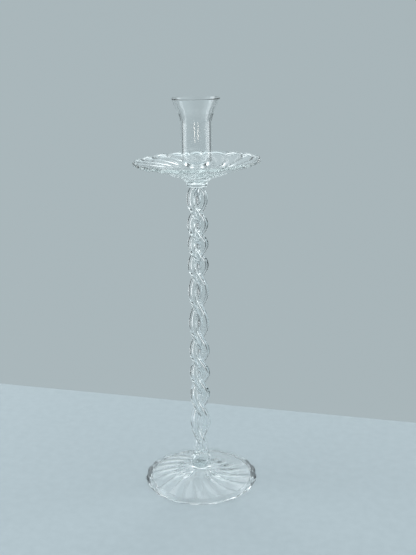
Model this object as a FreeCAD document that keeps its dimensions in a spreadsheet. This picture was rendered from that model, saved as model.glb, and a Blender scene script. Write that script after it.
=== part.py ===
import FreeCAD, Part
import math
import os
import re
import Sketcher

# A clear glass candlestick for one standard 22 mm taper candle.
#
# +Z is up. The origin is the centre of the ring that the foot rests on. Every
# piece is a body of its own, and the bodies stand on each other along Z: foot,
# foot knop, two rods twisted into a rope, stem collar, drip pan, candle cup.
# All sizes are in millimetres. The driving ones are on the spreadsheet "Sizes".

DRIVING_SIZES = [
    # alias, value, meaning
    ("foot_radius", 52.2, "foot: outer edge of the rolled rim"),
    ("foot_rim_height", 4.8, "foot: height of the rolled rim"),
    ("foot_rim_top_radius", 50.1, "foot: radius of the rim's top"),
    ("foot_dish_edge_radius", 47.1, "foot: radius where the rim meets the dome"),
    ("foot_dish_edge_height", 3.9, "foot: height where the rim meets the dome"),
    ("foot_middle_radius", 27.7, "foot: radius halfway up the dome"),
    ("foot_middle_height", 7.4, "foot: height of the dome at its middle radius"),
    ("foot_apex_radius", 10.5, "foot: radius of the flat top"),
    ("foot_apex_height", 13.5, "foot: height of the flat top"),
    ("foot_hollow_height", 9.0, "foot: height of the hollow underneath"),
    ("foot_hollow_middle_height", 4.7, "foot: height of the hollow at the middle radius"),
    ("foot_hollow_edge_radius", 46.7, "foot: outer radius of the hollow"),
    ("foot_hollow_edge_height", 1.0, "foot: height of the hollow's edge"),
    ("foot_ring_inner", 48.3, "foot: inner radius of the resting ring"),
    ("foot_ring_outer", 50.9, "foot: outer radius of the resting ring"),
    ("knop_height", 12.5, "foot knop: height"),
    ("knop_base_radius", 9.0, "foot knop: radius on the foot"),
    ("knop_belly_radius", 9.9, "foot knop: radius of the belly"),
    ("knop_belly_height", 5.0, "foot knop: height of the belly"),
    ("knop_top_radius", 9.0, "foot knop: radius under the rods"),
    ("rod_height", 252.0, "twisted rods: height of the rope"),
    ("rod_radius", 4.6, "twisted rods: radius of one rod"),
    ("rod_orbit", 4.7, "twisted rods: a rod's centre from the axis"),
    ("rod_pitch", 45.6, "twisted rods: height of one full turn"),
    ("collar_height", 7.0, "stem collar: height"),
    ("collar_base_radius", 9.6, "stem collar: radius over the rods"),
    ("collar_waist_radius", 9.2, "stem collar: radius of the waist"),
    ("collar_waist_height", 2.5, "stem collar: height of the waist"),
    ("collar_top_radius", 12.5, "stem collar: radius under the pan"),
    ("pan_radius", 54.8, "drip pan: outer edge"),
    ("pan_height", 16.4, "drip pan: rim over underside"),
    ("pan_edge_thickness", 2.6, "drip pan: thickness at the edge"),
    ("pan_middle_radius", 31.8, "drip pan: radius halfway up the dish"),
    ("pan_middle_low", 6.9, "drip pan: underside's height at the middle radius"),
    ("pan_middle_high", 10.2, "drip pan: dish's height at the middle radius"),
    ("pan_floor_height", 7.5, "drip pan: floor over underside"),
    ("pan_floor_radius", 10.0, "drip pan: radius of the flat floor"),
    ("cup_height", 60.6, "candle cup: height"),
    ("cup_radius", 13.4, "candle cup: outer radius of the straight part"),
    ("cup_base_radius", 6.5, "candle cup: radius of the base on the pan"),
    ("cup_round_radius", 11.7, "candle cup: radius halfway round the bottom edge"),
    ("cup_round_height", 2.7, "candle cup: height halfway round the bottom edge"),
    ("cup_floor_thickness", 3.2, "candle cup: thickness of the bottom"),
    ("bore_floor_radius", 5.5, "candle cup: radius of the hole's flat floor"),
    ("bore_round_radius", 9.8, "candle cup: radius halfway round the hole's bottom"),
    ("bore_round_height", 4.9, "candle cup: height halfway round the hole's bottom"),
    ("bore_radius", 11.5, "candle cup: radius of the candle's hole"),
    ("bore_bottom", 9.5, "candle cup: height where the straight hole starts"),
    ("bore_top", 43.0, "candle cup: height where the flare starts"),
    ("flare_inner_radius", 14.9, "candle cup: inner radius halfway up the flare"),
    ("flare_inner_height", 51.5, "candle cup: height of that inner radius"),
    ("flare_outer_radius", 16.5, "candle cup: outer radius halfway up the flare"),
    ("flare_outer_height", 51.0, "candle cup: height of that outer radius"),
    ("lip_radius", 20.5, "candle cup: outer radius of the flared lip"),
    ("lip_under_radius", 20.1, "candle cup: radius of the lip's lower edge"),
    ("lip_top_radius", 19.3, "candle cup: radius of the lip's top"),
    ("lip_thickness", 1.7, "candle cup: thickness of the fire-polished lip"),
]
ROD_COUNT = 2
ROD_VOLUME_TOLERANCE = 0.01

# Heights of the pieces over the table, as expressions of the driving sizes.
KNOP_BASE = "foot_apex_height"
ROD_BASE = f"{KNOP_BASE} + knop_height"
COLLAR_BASE = f"{ROD_BASE} + rod_height"
PAN_BASE = f"{COLLAR_BASE} + collar_height"
CUP_BASE = f"{PAN_BASE} + pan_floor_height"

# A round rod that climbs its helix is cut level as an ellipse, longer along the turn.
ROD_SLOPE = "atan2(rod_pitch; 2 * pi * rod_orbit)"
ROD_HALF_LENGTH = f"rod_radius / sin({ROD_SLOPE})"

PAN_EDGE_START = "pan_radius - pan_edge_thickness / 2"

# Profiles: half of each turned piece's section, as (radius, height) expressions.
# The first entry is the start. ("line", end) is a straight edge and
# ("arc", via, end) is an arc of a circle. The last edge returns to the start.
FOOT_PROFILE = [
    ("0", "foot_hollow_height"),
    (
        "arc",
        ("foot_middle_radius", "foot_hollow_middle_height"),
        ("foot_hollow_edge_radius", "foot_hollow_edge_height"),
    ),
    ("line", ("foot_ring_inner", "0")),
    ("line", ("foot_ring_outer", "0")),
    ("arc", ("foot_radius", "foot_rim_height / 2"), ("foot_rim_top_radius", "foot_rim_height")),
    ("line", ("foot_dish_edge_radius", "foot_dish_edge_height")),
    ("arc", ("foot_middle_radius", "foot_middle_height"), ("foot_apex_radius", "foot_apex_height")),
    ("line", ("0", "foot_apex_height")),
]
KNOP_PROFILE = [
    ("0", "0"),
    ("line", ("knop_base_radius", "0")),
    ("arc", ("knop_belly_radius", "knop_belly_height"), ("knop_top_radius", "knop_height")),
    ("line", ("0", "knop_height")),
]
COLLAR_PROFILE = [
    ("0", "0"),
    ("line", ("collar_base_radius", "0")),
    ("arc", ("collar_waist_radius", "collar_waist_height"), ("collar_top_radius", "collar_height")),
    ("line", ("0", "collar_height")),
]
PAN_PROFILE = [
    ("0", "0"),
    ("line", ("collar_top_radius", "0")),
    ("arc", ("pan_middle_radius", "pan_middle_low"), (PAN_EDGE_START, "pan_height - pan_edge_thickness")),
    ("arc", ("pan_radius", "pan_height - pan_edge_thickness / 2"), (PAN_EDGE_START, "pan_height")),
    ("arc", ("pan_middle_radius", "pan_middle_high"), ("pan_floor_radius", "pan_floor_height")),
    ("line", ("0", "pan_floor_height")),
]
CUP_PROFILE = [
    ("0", "0"),
    ("line", ("cup_base_radius", "0")),
    ("arc", ("cup_round_radius", "cup_round_height"), ("cup_radius", "bore_bottom")),
    ("line", ("cup_radius", "bore_top")),
    ("arc", ("flare_outer_radius", "flare_outer_height"), ("lip_under_radius", "cup_height - lip_thickness")),
    ("arc", ("lip_radius", "cup_height - lip_thickness / 2"), ("lip_top_radius", "cup_height")),
    ("arc", ("flare_inner_radius", "flare_inner_height"), ("bore_radius", "bore_top")),
    ("line", ("bore_radius", "bore_bottom")),
    ("arc", ("bore_round_radius", "bore_round_height"), ("bore_floor_radius", "cup_floor_thickness")),
    ("line", ("0", "cup_floor_thickness")),
]

doc = FreeCAD.newDocument("GlassCandlestick")
sheet = doc.addObject("Spreadsheet::Sheet", "Sizes")
for row, (alias, value, meaning) in enumerate(DRIVING_SIZES, start=1):
    sheet.set(f"A{row}", meaning)
    sheet.set(f"B{row}", str(value))
    sheet.setAlias(f"B{row}", alias)
doc.recompute()


def bound(expression):
    """The expression with each alias, a word with an underscore, read from the sheet."""
    return re.sub(r"[a-z]+(_[a-z]+)+", r"Sizes.\g<0>", expression)


def number(owner, expression):
    """The number that an expression gives at this moment."""
    value = owner.evalExpression(bound(expression))
    return float(getattr(value, "Value", value))


def origin_feature(body, role):
    """One of a body's own origin planes or axes."""
    return next(item for item in body.Origin.OriginFeatures if item.Role == role)


def new_body(name, base):
    """An empty body whose own origin stands at the height `base` over the table."""
    body = doc.addObject("PartDesign::Body", name)
    body.Label = name
    body.setExpression("Placement.Base.z", bound(base))
    return body


def new_sketch(body, plane):
    """A sketch on one of the body's origin planes."""
    sketch = body.newObject("Sketcher::SketchObject", f"{body.Name}_{plane[:2]}_sketch")
    sketch.AttachmentSupport = [(origin_feature(body, plane), "")]
    sketch.MapMode = "FlatFace"
    return sketch


def pin_coordinate(sketch, direction, geometry, end, expression):
    """Bind one coordinate of a sketch point to an expression of the sheet."""
    if expression == "0":
        axis = -2 if direction == "DistanceX" else -1
        sketch.addConstraint(Sketcher.Constraint("PointOnObject", geometry, end, axis))
        return
    value = number(sketch, expression)
    place = sketch.addConstraint(Sketcher.Constraint(direction, -1, 1, geometry, end, value))
    sketch.setExpression(f"Constraints[{place}]", bound(expression))


def pin_point(sketch, geometry, end, point):
    """Bind a sketch point to a pair of expressions."""
    pin_coordinate(sketch, "DistanceX", geometry, end, point[0])
    pin_coordinate(sketch, "DistanceY", geometry, end, point[1])


def pin_length(sketch, line, expression):
    """Bind the length of a sketch line to an expression."""
    value = number(sketch, expression)
    place = sketch.addConstraint(Sketcher.Constraint("Distance", line, value))
    sketch.setExpression(f"Constraints[{place}]", bound(expression))


def draw_profile(sketch, profile):
    """Draw a closed profile whose points all follow the sheet."""

    def vector(point):
        return FreeCAD.Vector(number(sketch, point[0]), number(sketch, point[1]), 0)

    start = profile[0]
    here = start
    ends = []
    for edge in profile[1:] + [("line", start)]:
        there = edge[-1]
        if edge[0] == "line":
            geometry = sketch.addGeometry(Part.LineSegment(vector(here), vector(there)), False)
            ends.append((geometry, 1, 2))
        else:
            arc = Part.Arc(vector(here), vector(edge[1]), vector(there))
            geometry = sketch.addGeometry(arc, False)
            forwards = (sketch.getPoint(geometry, 1) - vector(here)).Length < 0.001
            ends.append((geometry, 1, 2) if forwards else (geometry, 2, 1))
            via = sketch.addGeometry(Part.Point(vector(edge[1])), True)
            sketch.addConstraint(Sketcher.Constraint("PointOnObject", via, 1, geometry))
            pin_point(sketch, via, 1, edge[1])
        here = there
    for index, (geometry, first, _) in enumerate(ends):
        before, _, last = ends[index - 1]
        sketch.addConstraint(Sketcher.Constraint("Coincident", before, last, geometry, first))
    for (geometry, first, _), point in zip(ends, [start] + [edge[-1] for edge in profile[1:]]):
        pin_point(sketch, geometry, first, point)


def turned_piece(name, base, profile):
    """A solid of revolution about Z."""
    body = new_body(name, base)
    sketch = new_sketch(body, "XZ_Plane")
    draw_profile(sketch, profile)
    doc.recompute()
    turn = body.newObject("PartDesign::Revolution", f"{name}_turn")
    turn.Profile = sketch
    turn.ReferenceAxis = (origin_feature(body, "Z_Axis"), [""])
    turn.Angle = 360
    return body


def twisted_rod(name, turn_angle):
    """One round rod of the rope, swept up a left-handed helix.

    The sketch lies across the stem and holds the rod's level section.
    """
    body = new_body(name, ROD_BASE)
    sketch = new_sketch(body, "XY_Plane")
    half_length = number(body, ROD_HALF_LENGTH)
    half_width = number(body, "rod_radius")
    centre = FreeCAD.Vector(number(body, "rod_orbit"), 0, 0)
    top = centre + FreeCAD.Vector(0, half_length, 0)
    side = centre + FreeCAD.Vector(half_width, 0, 0)
    ellipse = sketch.addGeometry(Part.Ellipse(top, side, centre), False)
    sketch.exposeInternalGeometry(ellipse)
    long_axis, short_axis = ellipse + 1, ellipse + 2
    sketch.addConstraint(Sketcher.Constraint("Vertical", long_axis))
    pin_point(sketch, ellipse, 3, ("rod_orbit", "0"))
    pin_length(sketch, long_axis, f"2 * {ROD_HALF_LENGTH}")
    pin_length(sketch, short_axis, "2 * rod_radius")
    doc.recompute()
    helix = body.newObject("PartDesign::AdditiveHelix", f"{name}_helix")
    helix.Profile = sketch
    helix.ReferenceAxis = (origin_feature(body, "Z_Axis"), [""])
    helix.Mode = "pitch-height-angle"
    helix.LeftHanded = True
    helix.setExpression("Pitch", bound("rod_pitch"))
    helix.setExpression("Height", bound("rod_height"))
    body.Placement.Rotation = FreeCAD.Rotation(FreeCAD.Vector(0, 0, 1), turn_angle)
    return body


pieces = [
    turned_piece("foot", "0", FOOT_PROFILE),
    turned_piece("foot_knop", KNOP_BASE, KNOP_PROFILE),
]
for index in range(ROD_COUNT):
    pieces.append(twisted_rod(f"stem_rod_{index + 1}", index * 360 / ROD_COUNT))
pieces += [
    turned_piece("stem_collar", COLLAR_BASE, COLLAR_PROFILE),
    turned_piece("drip_pan", PAN_BASE, PAN_PROFILE),
    turned_piece("candle_cup", CUP_BASE, CUP_PROFILE),
]
doc.recompute()

for item in doc.Objects:
    if {"Invalid", "Error"} & set(item.State):
        raise RuntimeError(f"{item.Label} failed: {item.State}")
for piece in pieces:
    if piece.Shape.isNull() or not piece.Shape.isValid() or piece.Shape.Volume <= 0:
        raise RuntimeError(f"{piece.Label} has no sound solid")

rod_length = number(sheet, f"rod_height / sin({ROD_SLOPE})")
rod_volume = math.pi * number(sheet, "rod_radius") ** 2 * rod_length
for piece in pieces:
    if piece.Label.startswith("stem_rod") and abs(piece.Shape.Volume / rod_volume - 1) > ROD_VOLUME_TOLERANCE:
        raise RuntimeError(f"{piece.Label} is not its section times its length")

os.makedirs("parts", exist_ok=True)
for piece in pieces:
    piece.Shape.exportStep(f"parts/{piece.Label}.step")
    box = piece.Shape.optimalBoundingBox()
    heights = f"z {box.ZMin:.2f} to {box.ZMax:.2f}"
    print(f"{piece.Label}: {piece.Shape.Volume:.0f} mm3, {heights}, {box.XLength:.2f} across")
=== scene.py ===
"""The visual model of a clear glass candlestick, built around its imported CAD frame.

Every CAD node is replaced by a closed mesh with the flutes, waves and unevenness of
hand-made glass. Fused pieces that would show a seam share one mesh: the foot with its
knop, and the drip pan with its collar. Lengths are metres. Sizes given in millimetres
are multiplied by MM, or are in a section or a list that is scaled when it is used.
"""

import math

import bpy
from mathutils import Matrix, Vector, noise


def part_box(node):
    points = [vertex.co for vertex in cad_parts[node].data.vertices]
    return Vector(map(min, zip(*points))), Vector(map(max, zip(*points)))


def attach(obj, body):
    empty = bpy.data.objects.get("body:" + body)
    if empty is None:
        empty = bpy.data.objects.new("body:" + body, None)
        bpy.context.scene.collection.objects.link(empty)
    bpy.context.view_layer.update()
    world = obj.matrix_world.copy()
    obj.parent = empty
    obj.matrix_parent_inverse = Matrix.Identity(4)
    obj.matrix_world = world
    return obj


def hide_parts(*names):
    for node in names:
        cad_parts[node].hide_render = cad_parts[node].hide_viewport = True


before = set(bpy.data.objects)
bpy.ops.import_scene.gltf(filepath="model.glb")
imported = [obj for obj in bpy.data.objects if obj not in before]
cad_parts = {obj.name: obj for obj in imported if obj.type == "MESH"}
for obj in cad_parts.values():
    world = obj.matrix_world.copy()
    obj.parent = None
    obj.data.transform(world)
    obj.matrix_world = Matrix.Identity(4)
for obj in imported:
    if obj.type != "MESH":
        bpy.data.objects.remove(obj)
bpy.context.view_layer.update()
scene = bpy.context.scene

MM = 0.001
SEGMENTS = 360
DISC_SEGMENTS = 540
WOBBLE_PER_METRE = 40.0


# ---------------------------------------------------------------- small helpers


def smoothstep(low, high, value):
    """0 below low, 1 above high, and a smooth ramp between them."""
    t = min(1.0, max(0.0, (value - low) / (high - low)))
    return t * t * (3.0 - 2.0 * t)


def mix(a, b, t):
    return a + (b - a) * t


def wobble(angle, height, scale, seed):
    """Smooth noise that closes round the axis, between about -1 and 1."""
    spot = Vector((math.cos(angle) * scale, math.sin(angle) * scale, height * WOBBLE_PER_METRE + seed))
    return noise.noise(spot)


def arc_points(start, via, end, count):
    """Points of the circular arc from start through via to end, without its start."""
    ax, ay = start
    bx, by = via
    cx, cy = end
    d = 2.0 * (ax * (by - cy) + bx * (cy - ay) + cx * (ay - by))
    a2 = ax**2 + ay**2
    b2 = bx**2 + by**2
    c2 = cx**2 + cy**2
    ux = (a2 * (by - cy) + b2 * (cy - ay) + c2 * (ay - by)) / d
    uy = (a2 * (cx - bx) + b2 * (ax - cx) + c2 * (bx - ax)) / d
    radius = math.hypot(ax - ux, ay - uy)
    first = math.atan2(ay - uy, ax - ux)
    middle = math.atan2(by - uy, bx - ux)
    last = math.atan2(cy - uy, cx - ux)
    forward = (middle - first) % math.tau < (last - first) % math.tau
    turn = (last - first) % math.tau if forward else -((first - last) % math.tau)
    steps = [first + turn * (i + 1) / count for i in range(count)]
    return [(ux + radius * math.cos(a), uy + radius * math.sin(a)) for a in steps]


def line_points(start, end, count):
    """Evenly spaced points from start to end, without start."""
    steps = [(i + 1) / count for i in range(count)]
    return [(mix(start[0], end[0], t), mix(start[1], end[1], t)) for t in steps]


def outline(start, *edges):
    """A section in millimetres: each edge is (count, end) or (count, via, end)."""
    points = [start]
    for edge in edges:
        if len(edge) == 2:
            points += line_points(points[-1], edge[1], edge[0])
        else:
            points += arc_points(points[-1], edge[1], edge[2], edge[0])
    return [(r * MM, z * MM) for r, z in points]


def steps_in(edges):
    """How many points a run of edges adds to a section."""
    return sum(edge[0] for edge in edges)


def smooth_mesh(name, vertices, faces):
    """A smooth-shaded piece of the object, on its one body."""
    mesh = bpy.data.meshes.new(name)
    mesh.from_pydata(vertices, [], faces)
    mesh.update()
    for polygon in mesh.polygons:
        polygon.use_smooth = True
    piece = bpy.data.objects.new(name, mesh)
    scene.collection.objects.link(piece)
    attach(piece, "root")
    return piece


def turned(name, section, shape, base=0.0, segments=SEGMENTS):
    """A closed solid of revolution whose points are moved by shape(r, z, angle, index).

    The section runs from the axis on the upper side to the axis on the lower side.
    """
    vertices = [(0.0, 0.0, section[0][1] + base)]
    for index, (r, z) in enumerate(section[1:-1], start=1):
        for k in range(segments):
            angle = math.tau * k / segments
            r2, z2, angle2 = shape(r, z, angle, index)
            vertices.append((r2 * math.cos(angle2), r2 * math.sin(angle2), z2 + base))
    vertices.append((0.0, 0.0, section[-1][1] + base))
    faces = [(0, 1 + k, 1 + (k + 1) % segments) for k in range(segments)]
    for ring in range(len(section) - 3):
        low = 1 + ring * segments
        for k in range(segments):
            after = (k + 1) % segments
            faces.append((low + k, low + segments + k, low + segments + after, low + after))
    last = len(vertices) - 1
    low = last - segments
    faces += [(last, low + (k + 1) % segments, low + k) for k in range(segments)]
    return smooth_mesh(name, vertices, faces)


# ---------------------------------------------------------------- glass


GLASS_IOR = 1.5
RIPPLE_DETAIL = 2.0
RIPPLE_HEIGHT = 1.0 * MM
PRESSED_TINT = (0.985, 0.998, 0.995)
BLOWN_TINT = (0.99, 0.998, 0.998)
BODY_TINT = (0.55, 0.85, 0.80, 1.0)
BODY_DENSITY = 2.5


def glass(name, tint, roughness, ripple, ripple_scale):
    """Clear glass with faint cords: a fine ripple in the surface and a pale body tint."""
    material = bpy.data.materials.new(name)
    material.use_nodes = True
    nodes, links = material.node_tree.nodes, material.node_tree.links
    nodes.clear()
    shader = nodes.new("ShaderNodeBsdfPrincipled")
    output = nodes.new("ShaderNodeOutputMaterial")
    shader.inputs["Transmission Weight"].default_value = 1.0
    shader.inputs["IOR"].default_value = GLASS_IOR
    place = nodes.new("ShaderNodeTexCoord")
    cords = nodes.new("ShaderNodeTexNoise")
    cords.inputs["Scale"].default_value = ripple_scale
    cords.inputs["Detail"].default_value = RIPPLE_DETAIL
    links.new(place.outputs["Object"], cords.inputs["Vector"])
    bump = nodes.new("ShaderNodeBump")
    bump.inputs["Strength"].default_value = ripple
    bump.inputs["Distance"].default_value = RIPPLE_HEIGHT
    links.new(cords.outputs["Fac"], bump.inputs["Height"])
    links.new(bump.outputs["Normal"], shader.inputs["Normal"])
    haze = nodes.new("ShaderNodeMapRange")
    haze.inputs["To Min"].default_value = roughness * 0.5
    haze.inputs["To Max"].default_value = roughness * 1.5
    links.new(cords.outputs["Fac"], haze.inputs["Value"])
    links.new(haze.outputs["Result"], shader.inputs["Roughness"])
    colour = nodes.new("ShaderNodeMix")
    colour.data_type = "RGBA"
    colour.inputs["A"].default_value = (*tint, 1.0)
    colour.inputs["B"].default_value = (1.0, 1.0, 1.0, 1.0)
    links.new(cords.outputs["Fac"], colour.inputs["Factor"])
    links.new(colour.outputs["Result"], shader.inputs["Base Color"])
    body = nodes.new("ShaderNodeVolumeAbsorption")
    body.inputs["Color"].default_value = BODY_TINT
    body.inputs["Density"].default_value = BODY_DENSITY
    links.new(shader.outputs["BSDF"], output.inputs["Surface"])
    links.new(body.outputs["Volume"], output.inputs["Volume"])
    return material


FOOT_GLASS = glass("foot_glass", PRESSED_TINT, roughness=0.012, ripple=0.05, ripple_scale=90.0)
STEM_GLASS = glass("stem_glass", PRESSED_TINT, roughness=0.006, ripple=0.04, ripple_scale=120.0)
PAN_GLASS = glass("pan_glass", PRESSED_TINT, roughness=0.010, ripple=0.05, ripple_scale=90.0)
CUP_GLASS = glass("cup_glass", BLOWN_TINT, roughness=0.006, ripple=0.02, ripple_scale=60.0)


# ---------------------------------------------------------------- pressed flutes


VALLEY_SOFTNESS = 0.06
SWIRL_STARTS = 0.15
SWIRL_ENDS = 1.05


def flute(angle, count):
    """Rounded ribs with narrow valleys: near 0 in a valley and 1 on a rib."""
    wave = math.sin(angle * count / 2.0)
    softness = VALLEY_SOFTNESS * VALLEY_SOFTNESS
    return math.sqrt(wave * wave + softness) / math.sqrt(1.0 + softness)


def swirled_flute(angle, r, reach, style):
    """The swirled flutes of a pressed disc at a point, near 0 in a valley and 1 on a rib.

    The lean, its variation, the unevenness and the turn are in degrees.
    """
    lean = style["lean"] + style["lean_varies"] * math.sin(angle + style["lean_phase"])
    swirl = math.radians(lean) * smoothstep(SWIRL_STARTS, SWIRL_ENDS, reach) ** style["curl"]
    uneven = math.radians(style["uneven"]) * wobble(angle, r, scale=2.0, seed=style["seed"])
    return flute(angle - swirl + uneven + math.radians(style["turn"]), style["count"])


# ---------------------------------------------------------------- twisted stem

ROD_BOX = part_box("stem_rod_1")
ROD_LOW = ROD_BOX[0][2]
ROD_HIGH = ROD_BOX[1][2]
ROD_COUNT = 2
# Heights over the table at which one rod gives way to the next on the stem's left side.
# The twist was made by hand, so they are uneven.
CROSSINGS_MM = (12.0, 42.0, 73.0, 96.0, 116.0, 139.0, 169.0, 198.0, 218.0, 235.0, 254.0, 280.0)
TWIST_SOFTNESS = 9.0 * MM
TWIST_SAMPLES = 4


def crossings_below(height):
    """How many crossings lie below a height, with fractions between them."""
    marks = [value * MM for value in CROSSINGS_MM]
    index = 0
    while index < len(marks) - 2 and height >= marks[index + 1]:
        index += 1
    return index + (height - marks[index]) / (marks[index + 1] - marks[index])


def twist(height):
    """The stem's turn at a height: half a left-handed turn for each crossing."""
    offsets = [TWIST_SOFTNESS * s / TWIST_SAMPLES for s in range(-TWIST_SAMPLES, TWIST_SAMPLES + 1)]
    samples = [crossings_below(height + offset) for offset in offsets]
    return -math.tau / ROD_COUNT * sum(samples) / len(samples)


ORBIT = 4.62 * MM
ROD_RADIUS = 4.55 * MM
AIR_RADIUS = 0.36 * ROD_RADIUS
AIR_INSET = 2.0 * MM
SUNK_IN_KNOP = 3.0 * MM
END_ROUNDING = 2.5 * MM
SMALLEST_END = 0.25
LEVEL_LENGTH = 6.0 * MM
SLOPE_STEP = 0.3 * MM
LOWER_SQUEEZE = 0.78
LOWER_SQUEEZE_SPAN = (26.0 * MM, 48.0 * MM)
UPPER_SQUEEZE = 0.92
UPPER_SQUEEZE_SPAN = (270.0 * MM, 277.0 * MM)
ROD_SEGMENTS = 48
ROD_STEPS = 620
ROD_START = math.pi + math.pi / ROD_COUNT


def squeeze(height):
    """How much the rods draw together near both ends of the stem."""
    lower = mix(LOWER_SQUEEZE, 1.0, smoothstep(*LOWER_SQUEEZE_SPAN, height))
    upper = mix(1.0, UPPER_SQUEEZE, smoothstep(*UPPER_SQUEEZE_SPAN, height))
    return lower * upper


def rod_centre(index, height):
    """A point of one rod's centre line."""
    angle = ROD_START + twist(height) + math.tau * index / ROD_COUNT
    reach = ORBIT * squeeze(height)
    return Vector((reach * math.cos(angle), reach * math.sin(angle), height))


def tube(vertices, faces, index, low, high, radius, inward):
    """Add a closed tube round one rod's centre line; an inward one is a hollow."""
    start = len(vertices)
    for step in range(ROD_STEPS + 1):
        height = mix(low, high, step / ROD_STEPS)
        centre = rod_centre(index, height)
        above = rod_centre(index, height + SLOPE_STEP)
        below = rod_centre(index, height - SLOPE_STEP)
        along = (above - below).normalized()
        level = smoothstep(0.0, LEVEL_LENGTH, min(height - low, high - height))
        along = along.lerp(Vector((0.0, 0.0, 1.0)), 1.0 - level).normalized()
        out = Vector((centre.x, centre.y, 0.0)).normalized()
        aside = along.cross(out).normalized()
        out = aside.cross(along)
        to_end = min(1.0, min(height - low, high - height) / END_ROUNDING)
        size = radius * squeeze(height) * max(SMALLEST_END, math.sqrt(to_end * (2.0 - to_end)))
        for k in range(ROD_SEGMENTS):
            turn = math.tau * k / ROD_SEGMENTS
            vertices.append(centre + size * (math.cos(turn) * out + math.sin(turn) * aside))
    new_faces = []
    for ring in range(ROD_STEPS):
        first = start + ring * ROD_SEGMENTS
        for k in range(ROD_SEGMENTS):
            after = (k + 1) % ROD_SEGMENTS
            over = first + ROD_SEGMENTS
            new_faces.append((first + k, first + after, over + after, over + k))
    new_faces.append(tuple(start + k for k in reversed(range(ROD_SEGMENTS))))
    new_faces.append(tuple(start + ROD_STEPS * ROD_SEGMENTS + k for k in range(ROD_SEGMENTS)))
    faces += [tuple(reversed(face)) for face in new_faces] if inward else new_faces


for index in range(ROD_COUNT):
    vertices, faces = [], []
    tube(vertices, faces, index, ROD_LOW - SUNK_IN_KNOP, ROD_HIGH, ROD_RADIUS, False)
    tube(vertices, faces, index, ROD_LOW + AIR_INSET, ROD_HIGH - AIR_INSET, AIR_RADIUS, True)
    rod = smooth_mesh(f"twisted_rod_{index + 1}", vertices, faces)
    rod.data.materials.append(STEM_GLASS)
    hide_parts(f"stem_rod_{index + 1}")


# ---------------------------------------------------------------- foot

FOOT_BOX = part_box("foot")
FOOT_RADIUS = FOOT_BOX[1][0]
FOOT_FLUTING = {
    "count": 18, "lean": 20.0, "lean_varies": 6.0, "lean_phase": 0.6,
    "curl": 1.3, "uneven": 1.2, "turn": 2.0, "seed": 3.0,
}
FLUTE_TOP = 1.25 * MM
FLUTE_UNDER = 0.9 * MM
RIB_MIDDLE = 0.62
DOME_UNEVEN = 0.12 * MM
HOLLOW_LOWEST = 0.9 * MM
HOLLOW_WIDEST = 47.0 * MM
KNOP_INNER = (4.0 * MM, 8.0 * MM)
KNOP_WAIST = (13.5 * MM, 17.0 * MM)
KNOP_LOBES = 0.8 * MM
KNOP_UNEVEN = 0.9 * MM
KNOP_SHRINK = 0.4 * MM
RIM_TOP = 2.0 * MM
RIM_WAVE_OUT = 0.9 * MM
RIM_WAVE_UP = 0.8 * MM
RIM_UNEVEN_OUT = 0.25 * MM
RIM_UNEVEN_UP = 0.2 * MM

# From the knop's top over the dome and the rim, and back under the hollow.
KNOP_EDGES = (
    (6, (3.4, 25.7)),
    (10, (7.6, 24.3), (8.9, 21.5)),
    (14, (9.5, 18.6), (8.9, 15.4)),
    (6, (9.3, 13.9), (11.0, 13.0)),
)
DOME_EDGES = ((56, (27.5, 7.8), (47.0, 3.7)),)
FOOT_RIM_EDGES = (
    (8, (48.4, 4.7), (50.2, 4.8)),
    (12, (52.4, 2.5), (50.9, 0.0)),
    (3, (48.9, 0.0)),
    (5, (47.2, 0.6), (46.4, 1.6)),
)
HOLLOW_EDGES = (
    (48, (27.0, 4.9), (4.0, 9.0)),
    (2, (0.0, 9.0)),
)
foot_section = outline((0.0, 25.9), *KNOP_EDGES, *DOME_EDGES, *FOOT_RIM_EDGES, *HOLLOW_EDGES)
DOME_FIRST = steps_in(KNOP_EDGES)
DOME_LAST = DOME_FIRST + steps_in(DOME_EDGES)


def foot_shape(r, z, angle, index):
    """The foot's lobed knop, fluted dome and hollow, and wavy rim."""
    reach = r / FOOT_RADIUS
    rib = swirled_flute(angle, r, reach, FOOT_FLUTING)
    if index < DOME_FIRST:
        strength = smoothstep(*KNOP_INNER, r) * smoothstep(*KNOP_WAIST, z)
        lobes = math.cos(ROD_COUNT * (angle - ROD_START - twist(z)))
        uneven = wobble(angle, z * 4.0, scale=1.9, seed=71.0)
        r += strength * (KNOP_LOBES * lobes + KNOP_UNEVEN * uneven - KNOP_SHRINK)
    elif index <= DOME_LAST:
        rise = smoothstep(0.20, 0.40, reach)
        z += (rib - RIB_MIDDLE) * FLUTE_TOP * rise
        z += DOME_UNEVEN * wobble(angle, r * 4.0, scale=1.5, seed=9.0) * rise
    elif z > HOLLOW_LOWEST and r < HOLLOW_WIDEST:
        rise = smoothstep(0.12, 0.42, reach) * (1.0 - smoothstep(0.86, 0.90, reach))
        z += (rib - RIB_MIDDLE) * FLUTE_UNDER * rise
    else:
        push = smoothstep(0.88, 0.97, reach)
        dent = wobble(angle, 0.0, scale=2.3, seed=17.0) - 1.0
        r += push * ((rib - 1.0) * RIM_WAVE_OUT + RIM_UNEVEN_OUT * dent)
        if z > RIM_TOP:
            dip = wobble(angle, 0.3, scale=3.1, seed=21.0) - 1.0
            z += push * ((rib - 1.0) * RIM_WAVE_UP + RIM_UNEVEN_UP * dip)
    return min(r, FOOT_RADIUS), max(z, 0.0), angle


foot = turned("foot_fluted", foot_section, foot_shape, segments=DISC_SEGMENTS)
foot.data.materials.append(FOOT_GLASS)
# The foot's own shadow renders darker than the faint one that clear glass casts.
foot.visible_shadow = False
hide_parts("foot", "foot_knop")


# ---------------------------------------------------------------- drip pan

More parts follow.
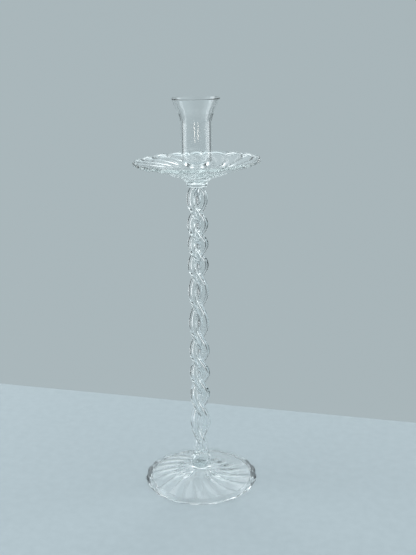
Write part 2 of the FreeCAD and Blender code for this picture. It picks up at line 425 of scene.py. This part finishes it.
PAN_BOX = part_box("drip_pan")
PAN_RADIUS = min(PAN_BOX[1][0], PAN_BOX[1][1], -PAN_BOX[0][0], -PAN_BOX[0][1])
PAN_BASE = PAN_BOX[0][2]
PAN_FLUTING = {
    "count": 20, "lean": 24.0, "lean_varies": 8.0, "lean_phase": -0.9,
    "curl": 1.2, "uneven": 1.5, "turn": 0.0, "seed": 33.0,
}
PAN_FLUTE_TOP = 0.9 * MM
PAN_FLUTE_UNDER = 1.3 * MM
PAN_THINNER = 0.5 * MM
COLLAR_UNEVEN = 0.25 * MM
COLLAR_INNER = (4.0 * MM, 8.0 * MM)
EDGE_DIP = 0.55 * MM
EDGE_WAVE = 1.2 * MM
EDGE_UNEVEN = 0.4 * MM
PAN_LIFT = 0.5 * MM
PAN_TILT = 1.2 * MM

# From the dish over the wavy rim, and back under the dish to the collar's foot.
DISH_EDGES = (
    (6, (9.0, 7.5)),
    (52, (31.0, 10.4), (52.0, 15.7)),
    (6, (53.3, 16.4), (54.3, 15.9)),
)
UNDER_EDGES = (
    (6, (54.9, 14.6), (53.8, 13.7)),
    (52, (33.0, 7.6), (16.5, 1.3)),
)
COLLAR_EDGES = (
    (10, (11.6, -1.2), (9.4, -4.6)),
    (4, (9.2, -5.6), (8.6, -6.6)),
    (3, (7.9, -6.95), (7.0, -7.0)),
    (4, (0.0, -7.0)),
)
pan_section = outline((0.0, 7.5), *DISH_EDGES, *UNDER_EDGES, *COLLAR_EDGES)
DISH_LAST = steps_in(DISH_EDGES)
UNDER_LAST = DISH_LAST + steps_in(UNDER_EDGES)


def pan_shape(r, z, angle, index):
    """The pan's flutes and wavy edge, and the collar's unevenness."""
    reach = r / PAN_RADIUS
    rib = swirled_flute(angle, r, reach, PAN_FLUTING)
    edge = smoothstep(0.8, 1.0, reach)
    if index <= DISH_LAST:
        z += (rib - 1.0) * PAN_FLUTE_TOP * smoothstep(0.18, 0.5, reach)
    elif index <= UNDER_LAST:
        rise = smoothstep(0.26, 0.55, reach)
        z += (rib - 1.0) * PAN_FLUTE_UNDER * rise + PAN_THINNER * rise * (1.0 - edge)
    else:
        uneven = wobble(angle, z * 3.0, scale=1.8, seed=83.0)
        r += COLLAR_UNEVEN * uneven * smoothstep(*COLLAR_INNER, r)
    z += edge * EDGE_DIP * (wobble(angle, 0.0, scale=1.7, seed=41.0) - 1.0)
    z += edge * (PAN_LIFT + PAN_TILT * math.cos(angle))
    ragged = wobble(angle, 0.2, scale=2.1, seed=47.0)
    r += edge * ((rib - 1.0) * EDGE_WAVE + EDGE_UNEVEN * ragged)
    return min(r, PAN_RADIUS), z, angle


pan = turned("drip_pan_fluted", pan_section, pan_shape, PAN_BASE, DISC_SEGMENTS)
pan.data.materials.append(PAN_GLASS)
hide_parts("drip_pan", "stem_collar")


# ---------------------------------------------------------------- candle cup

CUP_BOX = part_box("candle_cup")
CUP_BASE = CUP_BOX[0][2]
WALL_UNEVEN = 0.10 * MM
LIP_UNEVEN = 0.25 * MM

# From the floor of the hole up inside to the flared lip, and down outside to the base.
cup_section = outline(
    (0.0, 4.2),
    (6, (4.5, 4.6)),
    (14, (9.6, 6.9), (11.5, 12.0)),
    (26, (11.55, 41.0)),
    (12, (12.2, 44.4), (14.0, 48.4)),
    (14, (19.1, 59.9)),
    (8, (20.0, 60.5), (20.4, 59.5)),
    (14, (15.9, 48.9)),
    (12, (14.1, 45.0), (13.45, 41.0)),
    (26, (13.45, 13.0)),
    (16, (10.6, 4.3), (3.0, 0.15)),
    (3, (0.0, 0.0)),
)


def cup_shape(r, z, angle, index):
    """The slight unevenness of a blown wall, and of its lip."""
    wall = wobble(angle, z * 0.6, scale=0.9, seed=55.0) - 0.5
    lip = wobble(angle, 0.0, scale=0.8, seed=59.0) - 0.8
    r += WALL_UNEVEN * wall * smoothstep(0.0, 10.0 * MM, r)
    z += LIP_UNEVEN * lip * smoothstep(50.0 * MM, 60.0 * MM, z)
    return r, z, angle


cup = turned("candle_cup_blown", cup_section, cup_shape, CUP_BASE)
cup.data.materials.append(CUP_GLASS)
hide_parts("candle_cup")


# ---------------------------------------------------------------- floor

FLOOR_TURN = math.radians(-15.0)
FLOOR_SIDE = 2.5
FLOOR_BACK = 0.163
FLOOR_ROUGHNESS = 0.6
GRAIN_SCALE = 120.0
GRAIN_DETAIL = 6.0
DARKER_STONE = (0.45, 0.495, 0.52, 1.0)
PALER_STONE = (0.53, 0.575, 0.60, 1.0)


def pale_floor():
    """A table top whose back edge shows behind the object."""
    mesh = bpy.data.meshes.new("floor")
    front = [(-FLOOR_SIDE, -FLOOR_SIDE, 0.0), (FLOOR_SIDE, -FLOOR_SIDE, 0.0)]
    back = [(FLOOR_SIDE, FLOOR_BACK, 0.0), (-FLOOR_SIDE, FLOOR_BACK, 0.0)]
    corners = front + back
    mesh.from_pydata(corners, [], [(0, 1, 2, 3)])
    floor = bpy.data.objects.new("floor", mesh)
    floor.rotation_euler = (0.0, 0.0, FLOOR_TURN)
    scene.collection.objects.link(floor)
    material = bpy.data.materials.new("floor_stone")
    material.use_nodes = True
    nodes, links = material.node_tree.nodes, material.node_tree.links
    shader = nodes["Principled BSDF"]
    shader.inputs["Roughness"].default_value = FLOOR_ROUGHNESS
    place = nodes.new("ShaderNodeTexCoord")
    grain = nodes.new("ShaderNodeTexNoise")
    grain.inputs["Scale"].default_value = GRAIN_SCALE
    grain.inputs["Detail"].default_value = GRAIN_DETAIL
    links.new(place.outputs["Object"], grain.inputs["Vector"])
    colour = nodes.new("ShaderNodeMix")
    colour.data_type = "RGBA"
    colour.inputs["A"].default_value = DARKER_STONE
    colour.inputs["B"].default_value = PALER_STONE
    links.new(grain.outputs["Fac"], colour.inputs["Factor"])
    links.new(colour.outputs["Result"], shader.inputs["Base Color"])
    mesh.materials.append(material)


pale_floor()


# ---------------------------------------------------------------- studio light


# Stops of (azimuth in radians, brightness) and (sine of elevation, factor). The two ends
# come first, because a new ramp already has them.
AROUND = [
    (-3.14, 0.22), (3.14, 0.22),
    (-2.4, 0.20), (-1.9, 0.75), (-1.45, 0.75), (-1.2, 0.06), (-0.92, 0.06), (-0.6, 0.48),
    (0.0, 0.47), (0.55, 0.46), (0.82, 0.06), (1.08, 0.06), (1.35, 0.65), (1.8, 0.65), (2.2, 0.18),
]
UP = [(-1.0, 1.0), (1.0, 1.7), (0.25, 1.0), (0.42, 1.6), (0.7, 1.9), (0.85, 2.0)]
ROOM_TINT = (0.92, 1.0, 1.025)


def studio_world():
    """A pale room by direction: brightness round the horizon times a factor for height.

    Two narrow dark zones beside the backdrop give the glass its dark outlines.
    """
    world = bpy.data.worlds.new("studio")
    scene.world = world
    world.use_nodes = True
    nodes, links = world.node_tree.nodes, world.node_tree.links
    nodes.clear()
    background = nodes.new("ShaderNodeBackground")
    output = nodes.new("ShaderNodeOutputWorld")
    place = nodes.new("ShaderNodeTexCoord")
    split = nodes.new("ShaderNodeSeparateXYZ")
    links.new(place.outputs["Generated"], split.inputs["Vector"])

    def ramp(source, low, high, stops):
        to_unit = nodes.new("ShaderNodeMapRange")
        to_unit.inputs["From Min"].default_value = low
        to_unit.inputs["From Max"].default_value = high
        links.new(source, to_unit.inputs["Value"])
        node = nodes.new("ShaderNodeValToRGB")
        links.new(to_unit.outputs["Result"], node.inputs["Fac"])
        elements = node.color_ramp.elements
        for index, (stop, value) in enumerate(stops):
            element = elements[index] if index < 2 else elements.new(stop)
            element.position = (stop - low) / (high - low)
            element.color = (*(value * part for part in ROOM_TINT), 1.0)
        return node.outputs["Color"]

    # Azimuth about the vertical: 0 is straight behind the object.
    azimuth = nodes.new("ShaderNodeMath")
    azimuth.operation = "ARCTAN2"
    links.new(split.outputs["X"], azimuth.inputs[0])
    links.new(split.outputs["Y"], azimuth.inputs[1])
    around = ramp(azimuth.outputs["Value"], -math.pi, math.pi, AROUND)
    up = ramp(split.outputs["Z"], -1.0, 1.0, UP)
    both = nodes.new("ShaderNodeMix")
    both.data_type = "RGBA"
    both.blend_type = "MULTIPLY"
    both.inputs["Factor"].default_value = 1.0
    links.new(around, both.inputs["A"])
    links.new(up, both.inputs["B"])
    links.new(both.outputs["Result"], background.inputs["Color"])
    background.inputs["Strength"].default_value = 1.0
    links.new(background.outputs["Background"], output.inputs["Surface"])



def soft_light(name, place, aim, width, height, energy, colour=(1.0, 1.0, 1.0)):
    """A rectangular lamp that the camera doesn't see."""
    light = bpy.data.lights.new(name, "AREA")
    light.shape = "RECTANGLE"
    light.size = width
    light.size_y = height
    light.energy = energy
    light.color = colour
    lamp = bpy.data.objects.new(name, light)
    lamp.location = place
    lamp.rotation_euler = (Vector(aim) - Vector(place)).to_track_quat("-Z", "Y").to_euler()
    lamp.visible_camera = False
    scene.collection.objects.link(lamp)


CENTRE = (0.0, 0.0, 0.2)
CUP_MIDDLE = (0.0, 0.0, 0.325)
DAYLIGHT = (0.93, 0.97, 1.0)
WARM = (1.0, 0.92, 0.84)

studio_world()
# Each lamp's name, place, aim, width, height, power in watts and colour.
soft_light("window_left", (-1.1, 0.25, 0.55), CENTRE, 0.6, 1.2, 4.2, DAYLIGHT)
soft_light("window_right", (1.2, 0.35, 0.55), CENTRE, 0.5, 1.2, 3.0, DAYLIGHT)
soft_light("overhead", (0.1, -0.2, 1.6), CENTRE, 1.4, 1.4, 3.6)
soft_light("back_left", (-0.55, 1.1, 1.05), CENTRE, 0.35, 1.0, 1.1)
soft_light("back_right", (0.45, 1.1, 1.15), CENTRE, 0.35, 1.0, 1.1)
soft_light("strip_left", (-0.50, -1.9, 0.10), CUP_MIDDLE, 0.10, 0.08, 0.16, WARM)
soft_light("strip_right", (0.50, -1.9, 0.10), CUP_MIDDLE, 0.10, 0.08, 0.16, WARM)


# ---------------------------------------------------------------- camera


CAMERA_PLACE = (0.0, -0.746, 0.413)
CAMERA_DOWN = math.radians(16.2)
CAMERA_ASIDE = math.radians(-0.65)
CAMERA_ROLL = math.radians(-0.7)
CAMERA_LENS = 56.9
CAMERA_SENSOR = 36.0


def studio_camera():
    """The camera stands 0.75 m in front and looks 16 degrees down at the candlestick."""
    data = bpy.data.cameras.new("camera")
    data.sensor_fit = "AUTO"
    data.sensor_width = CAMERA_SENSOR
    data.lens = CAMERA_LENS
    camera = bpy.data.objects.new("camera", data)
    scene.collection.objects.link(camera)
    down = Matrix.Rotation(math.pi / 2.0 - CAMERA_DOWN, 4, "X")
    aside = Matrix.Rotation(CAMERA_ASIDE, 4, "Z")
    roll = Matrix.Rotation(CAMERA_ROLL, 4, "Z")
    camera.matrix_world = Matrix.Translation(CAMERA_PLACE) @ aside @ down @ roll
    scene.camera = camera


studio_camera()
scene.view_settings.view_transform = "Standard"
# Light crosses many glass surfaces in the stem and the pan, so it may bounce often.
GLASS_BOUNCES = 24
GLOSS_BOUNCES = 12
scene.cycles.max_bounces = GLASS_BOUNCES
scene.cycles.transmission_bounces = GLASS_BOUNCES
scene.cycles.glossy_bounces = GLOSS_BOUNCES
scene.cycles.use_denoising = True
